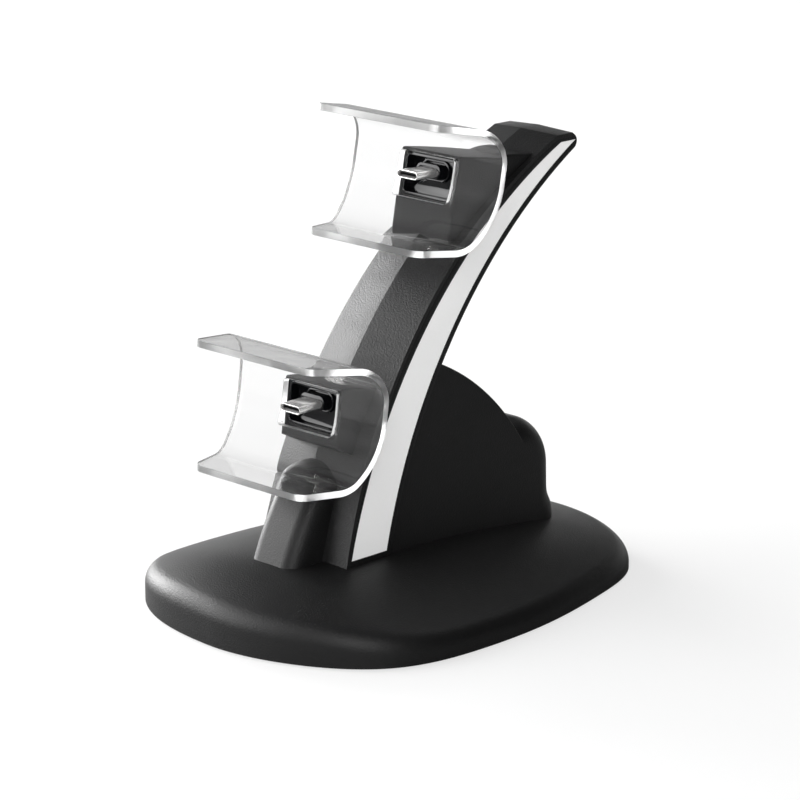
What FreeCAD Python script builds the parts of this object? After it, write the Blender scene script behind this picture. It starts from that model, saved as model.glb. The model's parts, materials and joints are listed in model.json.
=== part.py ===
import FreeCAD, Part
import math
import os

os.makedirs("parts", exist_ok=True)
Vector = FreeCAD.Vector
X_AXIS = Vector(1, 0, 0)
Z_AXIS = Vector(0, 0, 1)

# Desktop charging dock for two game controllers, in millimetres.
# +Z is up, the dock faces -Y, and the origin is on the table under the middle of the base.

# Base
base_length = 150.0
base_width = 115.0
base_wall = 2.2
outline_steps = 32
base_lift = 0.8
base_rim_round = 6.5
dome_top = 19.9
dome_crown_y = -25.6
dome_radius_across = 135.0
dome_radius_along = 537.0
dome_shoulder_y = -47.0
dome_front_radius = 70.0
# Half of the plan outline from the front to the back, as shares of half the width and half the length.
plan_shape = ((0.0, -1.0), (0.50, -0.925), (0.90, -0.675), (1.0, -0.30), (0.965, 0.12),
              (0.85, 0.50), (0.62, 0.86), (0.32, 0.975), (0.0, 1.0))

plate_thickness = 2.0
plate_recess = 0.8
plate_gap = 0.2
ballast_width = 62.0
ballast_length = 84.0
ballast_thickness = 3.5
ballast_corner = 8.0
ballast_y = -8.0
ballast_pin_diameter = 4.0
ballast_pin_spacing = 60.0
foot_diameter = 12.0
foot_inset = 1.0
foot_places = ((base_width / 2 - 19.5, 35.0 - base_length / 2),
               (base_width / 2 - 27.5, base_length / 2 - 25.0))
base_screw_places = ((base_width / 2 - 12.5, -14.0), (base_width / 2 - 20.5, 34.0))
boss_diameter = 6.5

# Screws
screw_head_diameter = 4.4
screw_head_height = 1.3
screw_shank_diameter = 2.2
screw_gap = 0.15
screw_slot_width = 0.6
screw_slot_depth = 0.5
base_screw_length = 7.5
foot_screw_length = 6.0
cover_screw_length = 6.0
board_screw_length = 4.5

# Spine, seen from the side: a front arc and a rear arc, each with its centre and radius.
front_centre_y = 120.5
front_centre_z = -17.7
front_radius = 162.2
rear_centre_y = 147.8
rear_centre_z = -23.1
rear_radius = 172.2
head_height = 131.0
tip_radius = 2.4
tip_turn = 55.0
spine_foot_half_width = 18.0
spine_taper = 0.035
spine_lean = 51.7
spine_wall = 1.6
ridge_rise = 3.0
ridge_reference_half_width = 16.0
ridge_direction = 22.0
cover_edge = 1.2
cover_step = 1.2
cover_gap = 0.15
shelf_half_width = 10.0
shelf_bottom = 21.0
shelf_thickness = 3.5
foot_screw_x = 6.0
foot_screw_y = -26.5
cable_hole_half_width = 13.0
cable_hole_height = 4.0
cover_screw_heights = (86.0, 104.0)
cover_post_diameter = 4.6

# Light strips in the sides of the spine
strip_foot_height = 20.3
strip_head_height = 129.0
strip_rim_foot = 2.0
strip_rim_middle = 3.1
strip_rim_head = 2.2
strip_rim_rear = 1.6
strip_gap = 0.1
strip_recess = 0.2
guide_inset = 1.0
guide_depth = 1.4
led_height = 0.8
led_gap = 0.2
led_size = 2.4
led_count = 7
led_board_thickness = 1.0
led_board_front = 5.2
led_board_rear = 3.2
led_board_low = 24.0
led_board_high = 104.0

# Rear fin and the inlet housing at its back
fin_centre_y = -30.1
fin_centre_z = -4.2
fin_radius = 82.8
fin_end_y = 43.0
fin_side_step = 1.0
fin_wall = 1.8
fin_edge_round = 0.5
bump_top = 47.0
bump_back = 54.5
bump_radius = 16.0
bump_foot_top = 23.4
bump_foot_hollow = 6.0
bump_foot_swell = 11.0
bump_foot_turn = 30.0
bump_round = 8.0
fin_boss_y = 24.0
fin_boss_x = 11.9
fin_boss_top = 25.5
fin_boss_diameter = 5.4

# Main circuit board and power inlet
board_bottom = 27.0
board_thickness = 1.6
board_half_width = 11.0
board_front = 10.0
board_back = 48.3
board_post_x = 8.5
board_post_ys = (15.0, 37.0)
board_post_diameter = 4.6
inlet_width = 8.94
inlet_height = 3.2
inlet_depth = 7.3
inlet_sheet = 0.3
inlet_recess = 0.5
inlet_gap = 0.2
inlet_tongue_width = 6.7
inlet_tongue_height = 0.7
inlet_rim_margin = 1.6
inlet_rim_depth = 0.5

# Front post
post_foot_y = -50.6
post_foot_lean = 68.5
post_front_radius = 103.0
post_back_low_y = -30.0
post_back_high_y = -12.0
post_half_width = 9.4
post_arch_centre = 36.8
post_front_round = 5.0
post_wall = 2.0

# Connector housings. Each has an origin on its front face, level with the plug, and a backward lean.
housing_names = ("lower", "upper")
housing_origins = {"upper": (14.3, 124.1), "lower": (-32.7, 63.6)}
housing_leans = {"upper": 11.0, "lower": 7.0}
housing_depths = {"upper": 34.0, "lower": 20.0}
housing_drops = {"upper": 26.0, "lower": 11.5}
housing_undercuts = {"upper": 0.0, "lower": 20.0}
housing_half_width = 11.84
housing_top = 6.3
housing_top_rise = 5.0
housing_wall = 1.4
housing_side_wall = 1.2
housing_edge_round = 0.8

# Glossy plug holder in each housing
holder_gap = 0.1
holder_bottom = -7.6
holder_top = 5.0
holder_wall = 0.9
holder_corner = 1.6
holder_floor_depth = 3.2
holder_floor = 1.6
holder_rear = 6.8
collar_width = 11.7
collar_height = 6.4
collar_step = 1.2
boss_width = 9.8
boss_height = 4.2
boss_front = 0.8
plug_level = 0.7
plug_droop = 8.0
plug_width = 8.25
plug_height = 2.4
plug_sheet = 0.3
plug_tip = 9.4
plug_tongue_height = 0.6
plug_tongue_setback = 0.9
plug_mouth_depth = 6.4
plug_fit_gap = 0.05
plug_board_thickness = 1.2
ribbon_width = 3.4
ribbon_thickness = 1.0
ribbon_inner_x = 2.4
ribbon_depth = 5.0
ribbon_board_level = -4.2
lead_width = 1.8
lead_thickness = 0.8

# Clear brackets
sheet_thickness = 2.0
bracket_top = 15.9
bracket_top_reach = 26.5
bracket_bottom_reach = 24.1
bracket_top_bend = 10.3
bracket_back_bend = 28.0
bracket_back_sweep = 40.0
bracket_lip_bend = 9.0
bracket_lip_slope = 6.0
bracket_back_half_width = 30.0
bracket_top_half_width = 23.9
bracket_bottom_half_width = 22.2
bracket_flare_start = 0.0
bracket_corner = 3.0
window_margin = 0.5
window_corner = 1.2

FAR = 200.0


def at(y, z, x=0.0):
    return Vector(x, y, z)


def line(start, end):
    return Part.LineSegment(start, end).toShape()


def arc_through(start, middle, end):
    return Part.Arc(start, middle, end).toShape()


def solid_from(edges, sweep):
    """Close the edges into a face and push it along the sweep."""
    return Part.Face(Part.Wire(Part.__sortEdges__(edges))).extrude(sweep)


def side_prism(edges, half_width=FAR):
    """Solid whose side view is the outline, from -half_width to +half_width."""
    solid = solid_from(edges, Vector(2 * half_width, 0, 0))
    solid.translate(Vector(-half_width, 0, 0))
    return solid


def polygon_edges(points):
    return [line(a, b) for a, b in zip(points, points[1:] + points[:1])]


def box(x0, x1, y0, y1, z0, z1):
    return Part.makeBox(x1 - x0, y1 - y0, z1 - z0, Vector(x0, y0, z0))


def rod(diameter, start, end):
    along = end - start
    return Part.makeCylinder(diameter / 2, along.Length, start, along)


def stadium(width, height, depth, radius=None):
    """Rounded bar centred on the Y axis, starting at y = 0 and running to y = depth."""
    radius = height / 2 - 0.001 if radius is None else radius
    bar = box(-width / 2, width / 2, 0, depth, -height / 2, height / 2)
    edges = [e for e in bar.Edges if abs(e.tangentAt(e.FirstParameter).y) > 0.9]
    return bar.makeFillet(radius, edges)


def mirrored(shape):
    return shape.mirror(Vector(0, 0, 0), X_AXIS)


def save(name, shape):
    shape = shape.removeSplitter()
    solids = shape.Solids
    shape = solids[0] if len(solids) == 1 else Part.makeCompound(solids)
    shape.exportStep("parts/%s.step" % name)
    print("%-28s solids %d volume %10.1f" % (name, len(solids), shape.Volume))


# Arcs of the spine's side view, each as centre y, centre z and radius

def front_arc(depth=0.0):
    return (front_centre_y, front_centre_z, front_radius - depth)


def rear_arc(depth=0.0):
    return (rear_centre_y, rear_centre_z, rear_radius + depth)


def arc_y(arc, z):
    centre_y, centre_z, radius = arc
    return centre_y - math.sqrt(radius ** 2 - (z - centre_z) ** 2)


def arc_point(arc, z):
    return at(arc_y(arc, z), z)


def arc_edge(arc, z0, z1):
    return arc_through(arc_point(arc, z0), arc_point(arc, (z0 + z1) / 2), arc_point(arc, z1))


# Base

def base_outline(inset=0.0):
    """Closed plan curve on z = 0 through the outline's points and their mirror images."""
    half = [Vector(x * base_width / 2, y * base_length / 2, 0) for x, y in plan_shape]
    other = [Vector(-p.x, p.y, 0) for p in half[-2:0:-1]]
    curve = Part.BSplineCurve()
    curve.interpolate(half + other, PeriodicFlag=True)
    if inset:
        places = [curve.FirstParameter + i * (curve.LastParameter - curve.FirstParameter) / outline_steps
                  for i in range(outline_steps)]
        inner = []
        for place in places:
            along = curve.tangent(place)[0]
            inner.append(curve.value(place) + Vector(-along.y, along.x, 0) * inset)
        curve = Part.BSplineCurve()
        curve.interpolate(inner, PeriodicFlag=True)
    return Part.Wire(curve.toShape())


def plan_prism(inset, z0, z1):
    solid = Part.Face(base_outline(inset)).extrude(Vector(0, 0, z1 - z0))
    solid.translate(Vector(0, 0, z0))
    return solid


def dome(inset=0.0):
    """Everything under the dome: an arc across, swept back on a flat arc and down a tighter one in front."""
    reach = base_width * 0.6
    radius = dome_radius_across - inset
    top = dome_top - inset
    drop = radius - math.sqrt(radius ** 2 - reach ** 2)
    arc = arc_through(Vector(-reach, 0, top - drop), Vector(0, 0, top), Vector(reach, 0, top - drop))
    low = -30.0
    rest = [line(Vector(reach, 0, top - drop), Vector(reach, 0, low)),
            line(Vector(reach, 0, low), Vector(-reach, 0, low)),
            line(Vector(-reach, 0, low), Vector(-reach, 0, top - drop))]
    face = Part.Face(Part.Wire(Part.__sortEdges__([arc] + rest)))
    face.translate(Vector(0, dome_crown_y, 0))
    axis = Vector(0, dome_crown_y, dome_top - dome_radius_along)
    rear_turn = math.degrees(base_length / dome_radius_along)
    shoulder = math.asin((dome_crown_y - dome_shoulder_y) / dome_radius_along)
    shoulder_turn = math.degrees(shoulder)
    front_axis = axis + at(-math.sin(shoulder), math.cos(shoulder)) * (dome_radius_along - dome_front_radius)
    front = face.copy()
    front.rotate(axis, X_AXIS, shoulder_turn)
    face.rotate(axis, X_AXIS, -rear_turn)
    return face.revolve(axis, X_AXIS, rear_turn + shoulder_turn).fuse(front.revolve(front_axis, X_AXIS, 45))


def base_block():
    """Outer form of the base, with its rim rounded."""
    block = plan_prism(0.0, base_lift, dome_top + 5).common(dome())
    rim = [e for e in block.Edges if e.BoundBox.ZMin > base_lift + 1 and e.BoundBox.YLength > 10]
    return block.makeFillet(base_rim_round, rim)


def dome_height(x, y):
    """Height of the dome over the table at a place in plan."""
    across = dome_radius_across - math.sqrt(dome_radius_across ** 2 - x ** 2)
    ring = dome_radius_along - across
    centre = dome_top - dome_radius_along
    return centre + math.sqrt(ring ** 2 - (y - dome_crown_y) ** 2)


def screw(length):
    """Pan head screw standing on z = 0, head down, shank up, with a cross slot."""
    head = Part.makeCylinder(screw_head_diameter / 2, screw_head_height)
    head = head.makeChamfer(screw_head_height * 0.3, [head.Edges[2]])
    shank = rod(screw_shank_diameter, Vector(0, 0, screw_head_height), Vector(0, 0, length))
    arm = screw_head_diameter * 0.32
    half = screw_slot_width / 2
    slots = box(-arm, arm, -half, half, -1, screw_slot_depth).fuse(
        box(-half, half, -arm, arm, -1, screw_slot_depth))
    return head.fuse(shank).cut(slots)


def screw_hole(length, head_room=0.0):
    """Room for one screw, with its gap, standing on z = -head_room."""
    wide = screw_head_diameter + 2 * screw_gap
    narrow = screw_shank_diameter + 2 * screw_gap
    head = rod(wide, Vector(0, 0, -head_room - 1), Vector(0, 0, screw_head_height))
    return head.fuse(rod(narrow, Vector(0, 0, 0), Vector(0, 0, length + screw_gap)))


def placed(shape, place, direction=Z_AXIS):
    """Copy of a shape that stands on z = 0, moved to a place and turned to point along a direction."""
    copy = shape.copy()
    turn = FreeCAD.Rotation(Z_AXIS, direction)
    copy.Placement = FreeCAD.Placement(place, turn)
    return copy


def four_places(places):
    return [Vector(side * x, y, 0) for x, y in places for side in (1, -1)]


plate_bottom = base_lift + plate_recess
plate_top = plate_bottom + plate_thickness


def foot_screw_places():
    """Screws that hold the spine and the fin, from inside the base."""
    places = [(foot_screw_x, foot_screw_y), (fin_boss_x, fin_boss_y)]
    return [(p, Vector(p.x, p.y, dome_height(p.x, p.y) - base_wall - screw_head_height))
            for p in four_places(places)]


def board_posts():
    return [Vector(p.x, p.y, dome_height(p.x, p.y) - 1.0)
            for p in four_places([(board_post_x, y) for y in board_post_ys])]


def base_top_shell(block):
    inner = plan_prism(base_wall, -1, dome_top + 5).common(dome(base_wall))
    shell = block.cut(inner)
    for p in four_places(base_screw_places):
        boss = rod(boss_diameter, Vector(p.x, p.y, plate_top), Vector(p.x, p.y, dome_top))
        shell = shell.fuse(boss.common(dome(base_wall / 2)))
        shell = shell.cut(placed(screw_hole(base_screw_length), Vector(p.x, p.y, plate_bottom)))
    for place in board_posts():
        top = Vector(place.x, place.y, board_bottom)
        shell = shell.fuse(rod(board_post_diameter, place, top))
        pilot = rod(screw_shank_diameter + 2 * screw_gap,
                    Vector(place.x, place.y, board_bottom + board_thickness - board_screw_length), top)
        shell = shell.cut(pilot)
    for _, head in foot_screw_places():
        shell = shell.cut(rod(screw_shank_diameter + 2 * screw_gap, head, head + Vector(0, 0, 9)))
        shell = shell.cut(rod(screw_head_diameter + 2 * screw_gap, head,
                              head + Vector(0, 0, screw_head_height)))
    return shell


def base_bottom_plate():
    plate = plan_prism(base_wall + plate_gap, plate_bottom, plate_top)
    for p in four_places(foot_places):
        plate = plate.cut(rod(foot_diameter + 2 * plate_gap, p, p + Vector(0, 0, plate_bottom + foot_inset)))
    for p in four_places(base_screw_places):
        plate = plate.cut(placed(screw_hole(base_screw_length, 1.0), Vector(p.x, p.y, plate_bottom)))
    for y in (-ballast_pin_spacing / 2, ballast_pin_spacing / 2):
        foot = Vector(0, ballast_y + y, plate_bottom + 0.5)
        plate = plate.fuse(rod(ballast_pin_diameter, foot,
                               Vector(0, ballast_y + y, plate_top + ballast_thickness)))
    return plate


def ballast_plate():
    plate = box(-ballast_width / 2, ballast_width / 2, ballast_y - ballast_length / 2,
                ballast_y + ballast_length / 2, plate_top, plate_top + ballast_thickness)
    upright = [e for e in plate.Edges if abs(e.tangentAt(0).z) > 0.9]
    plate = plate.makeFillet(ballast_corner, upright)
    for y in (-ballast_pin_spacing / 2, ballast_pin_spacing / 2):
        foot = Vector(0, ballast_y + y, 0)
        plate = plate.cut(rod(ballast_pin_diameter + 2 * plate_gap, foot, foot + Vector(0, 0, FAR)))
    return plate


def rubber_foot(place):
    foot = Part.makeCylinder(foot_diameter / 2, plate_bottom + foot_inset, place)
    bottom = [e for e in foot.Edges if e.BoundBox.ZMax < 0.01]
    return foot.makeFillet(0.4, bottom)


# Spine

spine_foot_low = 8.0
lean_along = Vector(0, math.cos(math.radians(spine_lean)), math.sin(math.radians(spine_lean)))
lean_across = Vector(0, -lean_along.z, lean_along.y)
lean_origin = at(arc_y(front_arc(), dome_top), dome_top)


def side_slab(inset):
    """Tapered slab between the spine's two side planes, each moved in by the inset."""
    def half_width(t):
        return spine_foot_half_width - spine_taper * t - inset
    low, high = -60.0, 200.0
    corners = [lean_origin + lean_along * t + Vector(side * half_width(t), 0, 0) - lean_across * FAR
               for t, side in ((low, -1), (low, 1), (high, 1), (high, -1))]
    return solid_from(polygon_edges(corners), lean_across * 2 * FAR)


def side_shell(outer_inset, inner_inset):
    """The layer of the right side between two insets."""
    right = box(0, FAR, -FAR, FAR, -FAR, FAR)
    return side_slab(outer_inset).cut(side_slab(inner_inset)).common(right)


def front_wedge(depth=0.0):
    """All that lies behind the two front facets and under the top facets."""
    slope = math.radians(ridge_direction)
    forward = Vector(0, -math.cos(slope), math.sin(slope)) * ridge_rise
    top = head_height - depth
    arc = front_arc(depth)
    behind = rear_centre_y
    start = arc_point(arc, spine_foot_low)
    end = arc_point(arc, top)
    edges = [arc_edge(arc, spine_foot_low, top), line(end, at(behind, top)),
             line(at(behind, top), at(behind, spine_foot_low)), line(at(behind, spine_foot_low), start)]
    face = Part.Face(Part.Wire(Part.__sortEdges__(edges)))
    face.translate(forward)
    reach = 1.4
    right = face.extrude((Vector(ridge_reference_half_width, 0, 0) - forward) * reach)
    return right.fuse(mirrored(right))


def rear_block(depth=0.0):
    """All that lies in front of the rear arc, with the rounded tip at the head."""
    arc = rear_arc(depth)
    radius = max(tip_radius - depth, 0.4)
    tip_z = head_height - depth - radius
    tip_y = rear_centre_y - math.sqrt((arc[2] + radius) ** 2 - (tip_z - rear_centre_z) ** 2)
    tip = at(tip_y, tip_z)
    to_centre = (at(rear_centre_y, rear_centre_z) - tip).normalize()
    touch = tip + to_centre * radius
    turn = math.radians(tip_turn)
    top_touch = tip + at(math.cos(turn), math.sin(turn)) * radius
    outward = tip + at(1.0, 0.0) * radius
    rise = top_touch + at(-math.sin(turn), math.cos(turn)) * 8
    front = -80.0
    edges = [arc_edge(arc, spine_foot_low, touch.z), arc_through(touch, outward, top_touch),
             line(top_touch, rise), line(rise, at(front, rise.z)),
             line(at(front, rise.z), at(front, spine_foot_low)),
             line(at(front, spine_foot_low), arc_point(arc, spine_foot_low))]
    return side_prism(edges, 40.0)


def spine_body():
    return front_wedge().common(rear_block()).common(side_slab(0.0))


def strip_edges(shrink):
    """Outline of the light strip, seen from the side."""
    low = strip_foot_height + shrink
    high = strip_head_height - shrink
    middle = (low + high) / 2
    points = [arc_point(front_arc(rim + shrink), z)
              for rim, z in ((strip_rim_foot, low), (strip_rim_middle, middle), (strip_rim_head, high))]
    rear = rear_arc(strip_rim_rear + shrink)
    return [arc_through(*points), line(points[2], arc_point(rear, high)), arc_edge(rear, low, high),
            line(arc_point(rear, low), points[0])]


def cover_screws():
    """Place and direction of each screw that holds the front cover, from the rear of the spine."""
    centre = at(rear_centre_y, rear_centre_z)
    found = []
    for z in cover_screw_heights:
        surface = arc_point(rear_arc(), z)
        inward = (surface - centre).normalize()
        found.append((surface + inward * 0.4, inward))
    return found


def ribbon_runs():
    """Height and rear end of the straight run of each ribbon cable."""
    runs = {}
    for name in housing_names:
        lean = math.radians(housing_leans[name])
        y, z = housing_origins[name]
        back = holder_rear + plug_board_thickness
        level = z - back * math.sin(lean) + ribbon_board_level * math.cos(lean)
        start = y + back * math.cos(lean) + ribbon_board_level * math.sin(lean)
        runs[name] = (start, level)
    return runs


def spine_front_cover(body, base):
    """Front and top facets in one moulding, with a step that sits inside the side walls."""
    cover = body.cut(front_wedge(cover_edge))
    step = front_wedge(cover_edge).cut(front_wedge(cover_edge + cover_step))
    step = step.common(side_slab(spine_wall + cover_gap)).common(rear_block(spine_wall + cover_gap))
    cover = cover.fuse(step)
    for place, inward in cover_screws():
        end = place + inward * 40
        start = place + inward * (spine_wall + 0.1)
        post = rod(cover_post_diameter, start, end).common(front_wedge(cover_edge / 2))
        cover = cover.fuse(post)
        cover = cover.cut(placed(screw_hole(cover_screw_length), place, inward))
    for start, level in ribbon_runs().values():
        reach = ribbon_inner_x + ribbon_width + 1
        cover = cover.cut(box(-reach, reach, start, start + 40, level - 1.5, level + ribbon_thickness + 1.5))
    for name in housing_names:
        room = holder_block(0.3, -1, holder_rear + plug_board_thickness + 1.5, holder_corner)
        cover = cover.cut(stand(room, name))
    return cover.cut(base)


def spine_core(body, base):
    """Rear wall and side walls of the spine, with a window in each side and a shelf at the foot."""
    cavity = rear_block(spine_wall).common(side_slab(spine_wall))
    core = body.common(front_wedge(cover_edge)).cut(cavity)
    window = side_prism(strip_edges(0.0)).common(side_shell(-1.0, spine_wall))
    core = core.cut(window).cut(mirrored(window))
    shelf = box(-shelf_half_width, shelf_half_width, -60, 20, spine_foot_low, shelf_bottom + shelf_thickness)
    shelf = shelf.common(front_wedge(cover_edge + cover_step + cover_gap)).common(rear_block(spine_wall / 2))
    core = core.fuse(shelf)
    board_top = board_bottom + board_thickness
    core = core.cut(box(-cable_hole_half_width, cable_hole_half_width, arc_y(rear_arc(), board_top) - 6,
                        0, board_bottom, board_bottom + cable_hole_height))
    for place, inward in cover_screws():
        core = core.cut(placed(screw_hole(cover_screw_length, 2.0), place, inward))
    for p, head in foot_screw_places():
        core = core.cut(placed(screw_hole(foot_screw_length), head))
    return core.cut(base)


def light_diffuser():
    pane = side_prism(strip_edges(strip_gap)).common(side_shell(strip_recess, spine_wall))
    guide = side_prism(strip_edges(strip_gap + guide_inset)).common(
        side_shell(spine_wall, spine_wall + guide_depth))
    clear = front_wedge(cover_edge + cover_step + cover_gap).common(rear_block(spine_wall + strip_gap))
    return pane.fuse(guide.common(clear))


def led_band(z0, z1, front=led_board_front, rear=led_board_rear):
    front_edge = arc_edge(front_arc(front), z0, z1)
    rear_edge = arc_edge(rear_arc(rear), z0, z1)
    ends = [line(arc_point(front_arc(front), z), arc_point(rear_arc(rear), z)) for z in (z0, z1)]
    return side_prism([front_edge, rear_edge] + ends)


led_layer = spine_wall + guide_depth + led_gap


def led_board():
    layer = side_shell(led_layer + led_height, led_layer + led_height + led_board_thickness)
    return led_band(led_board_low, led_board_high).common(layer)


def led_chips():
    layer = side_shell(led_layer, led_layer + led_height)
    step = (led_board_high - led_board_low) / led_count
    chips = []
    for i in range(led_count):
        z = led_board_low + (i + 0.5) * step
        y = (arc_y(front_arc(led_board_front), z) + arc_y(rear_arc(led_board_rear), z)) / 2
        half = led_size / 2
        chips.append(box(0, FAR, y - half, y + half, z - half, z + half).common(layer))
    return Part.makeCompound(chips)


def led_lead():
    """Flat lead from the foot of a light board to the main board."""
    z = board_bottom + board_thickness
    front = arc_y(front_arc(led_board_front), z) + 1
    along = (at(front, z) - lean_origin).dot(lean_along)
    outer = spine_foot_half_width - spine_taper * along - led_layer - led_height - led_board_thickness
    outer = min(outer - 0.3, board_half_width + lead_width / 2)
    return box(outer - lead_width, outer, front, board_front + 2.4, z, z + lead_thickness)


def ribbon_cable(name, side, plug_board):
    """Flat cable from a plug board, down the spine, to the main board."""
    start, level = ribbon_runs()[name]
    z = board_bottom + board_thickness
    outer, inner = front_arc(ribbon_depth), front_arc(ribbon_depth + ribbon_thickness)
    top = level + ribbon_thickness
    band = [arc_edge(outer, z, top), arc_edge(inner, z, top)]
    band += [line(arc_point(outer, h), arc_point(inner, h)) for h in (z, top)]
    cable = side_prism(band)
    cable = cable.fuse(box(-FAR, FAR, start - 1, arc_y(outer, top) + ribbon_thickness, level, top))
    cable = cable.fuse(box(-FAR, FAR, arc_y(outer, z), board_front + 5, z, z + ribbon_thickness))
    near, far = side * ribbon_inner_x, side * (ribbon_inner_x + ribbon_width)
    cable = cable.common(box(min(near, far), max(near, far), -FAR, FAR, -FAR, FAR))
    return cable.cut(plug_board)


# Rear fin

def fin_form(inset=0.0):
    """Curved fin behind the spine, and the rounded housing at its back."""
    radius = fin_radius - inset
    end_y = fin_end_y - inset
    end_z = fin_centre_z + math.sqrt(radius ** 2 - (end_y - fin_centre_y) ** 2)
    start_y = -4.0
    start_z = fin_centre_z + math.sqrt(radius ** 2 - (start_y - fin_centre_y) ** 2)
    middle_y = (start_y + end_y) / 2
    middle_z = fin_centre_z + math.sqrt(radius ** 2 - (middle_y - fin_centre_y) ** 2)
    low = 5.0
    edges = [arc_through(at(start_y, start_z), at(middle_y, middle_z), at(end_y, end_z))]
    edges += [line(at(end_y, end_z), at(end_y, low)), line(at(end_y, low), at(-28.0, low)),
              line(at(-28.0, low), at(start_y, start_z))]
    slab = side_slab(fin_side_step + inset)
    fin = side_prism(edges, 40.0).common(slab)
    if not inset:
        crease = [e for e in fin.Edges if e.BoundBox.YLength > 40 and e.BoundBox.ZLength > 30
                  and e.BoundBox.XLength < 5 and e.BoundBox.YMax > fin_end_y - 1]
        fin = fin.makeFillet(fin_edge_round, crease)
    return fin.fuse(bump_form(inset))


def bump_form(inset):
    """Rounded housing at the back of the fin, with a foot that swells out over the base."""
    back = bump_back - inset
    centre_y = bump_back - bump_radius
    centre_z = bump_top - bump_radius
    radius = bump_radius - inset
    hollow, swell = bump_foot_hollow + inset, bump_foot_swell - inset
    turn = math.radians(bump_foot_turn)
    foot_y = back + (hollow + swell) * (1 - math.cos(turn))
    foot_z = bump_foot_top - (hollow + swell) * math.sin(turn)
    low, front = 5.0, 22.0
    diagonal = radius * math.sqrt(0.5)

    def on_hollow(angle):
        return at(back + hollow * (1 - math.cos(angle)), bump_foot_top - hollow * math.sin(angle))

    def on_swell(angle):
        return at(foot_y - swell * (1 - math.cos(angle)), foot_z + swell * math.sin(angle))
    edges = [line(at(front, low), at(front, centre_z + radius)),
             line(at(front, centre_z + radius), at(centre_y, centre_z + radius)),
             arc_through(at(centre_y, centre_z + radius), at(centre_y + diagonal, centre_z + diagonal),
                         at(back, centre_z)),
             line(at(back, centre_z), at(back, bump_foot_top)),
             arc_through(at(back, bump_foot_top), on_hollow(turn / 2), on_hollow(turn)),
             arc_through(on_hollow(turn), on_swell(turn / 2), at(foot_y, foot_z)),
             line(at(foot_y, foot_z), at(foot_y, low)), line(at(foot_y, low), at(front, low))]
    bump = side_prism(edges, 40.0).common(side_slab(fin_side_step + inset))
    sides = [e for e in bump.Edges if e.BoundBox.XLength < 3]
    round_edges = [e for e in sides if e.BoundBox.YMin > front + 1 and e.BoundBox.ZMin > 10.5]
    round_edges += [e for e in sides if e.BoundBox.YLength > 5 and e.BoundBox.YMin <= front + 1
                    and e.BoundBox.ZMin > centre_z + radius - 1]
    return bump.makeFillet(max(bump_round - inset, 0.5), round_edges)


def rear_fin_cover(body, base):
    cover = fin_form().cut(fin_form(fin_wall))
    for p in four_places([(fin_boss_x, fin_boss_y)]):
        boss = rod(fin_boss_diameter, Vector(p.x, p.y, 5), Vector(p.x, p.y, fin_boss_top))
        cover = cover.fuse(boss.common(side_slab(fin_side_step + fin_wall / 2)))
    for p, head in foot_screw_places():
        cover = cover.cut(placed(screw_hole(foot_screw_length), head))
    mouth = inlet_mouth_shape(inlet_gap)
    mouth.translate(Vector(0, inlet_back() - inlet_depth, inlet_level()))
    rim = stadium(inlet_width + 2 * inlet_rim_margin, inlet_height + 2 * inlet_rim_margin, 5.0)
    rim.translate(Vector(0, bump_back - inlet_rim_depth, inlet_level()))
    return cover.cut(mouth).cut(rim).cut(body).cut(base)


# Main board and inlet

def inlet_level():
    return board_bottom + board_thickness + inlet_height / 2


def inlet_back():
    return bump_back - inlet_recess


def inlet_mouth_shape(gap):
    return stadium(inlet_width + 2 * gap, inlet_height + 2 * gap, inlet_depth + 5)


def power_inlet_shell():
    shell = stadium(inlet_width, inlet_height, inlet_depth)
    bore = stadium(inlet_width - 2 * inlet_sheet, inlet_height - 2 * inlet_sheet, inlet_depth)
    bore.translate(Vector(0, inlet_sheet, 0))
    shell = shell.cut(bore)
    shell.translate(Vector(0, inlet_back() - inlet_depth, inlet_level()))
    return shell


def power_inlet_tongue():
    base = stadium(inlet_width - 2 * inlet_sheet - 0.02, inlet_height - 2 * inlet_sheet - 0.02, 1.6)
    half_width, half_height = inlet_tongue_width / 2, inlet_tongue_height / 2
    tongue = box(-half_width, half_width, 1, inlet_depth - 1.2, -half_height, half_height)
    tongue = base.fuse(tongue)
    tongue.translate(Vector(0, inlet_back() - inlet_depth + inlet_sheet, inlet_level()))
    return tongue


def main_circuit_board():
    board = box(-board_half_width, board_half_width, board_front, board_back,
                board_bottom, board_bottom + board_thickness)
    for place in board_posts():
        hole = Vector(place.x, place.y, 0)
        board = board.cut(rod(screw_shank_diameter + 2 * screw_gap, hole, hole + Vector(0, 0, FAR)))
    return board


def board_components():
    """Control chip, two regulators and a capacitor on the main board."""
    top = board_bottom + board_thickness
    chip = box(-3, 3, 19.5, 25.5, top, top + 1.2)
    regulators = [box(x - 1.6, x + 1.6, 28, 32, top, top + 1.5) for x in (-5, 5)]
    capacitor = rod(5.0, Vector(0, 33.5, top), Vector(0, 33.5, top + 6))
    return Part.makeCompound([chip, capacitor] + regulators)


# Front post

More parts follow.
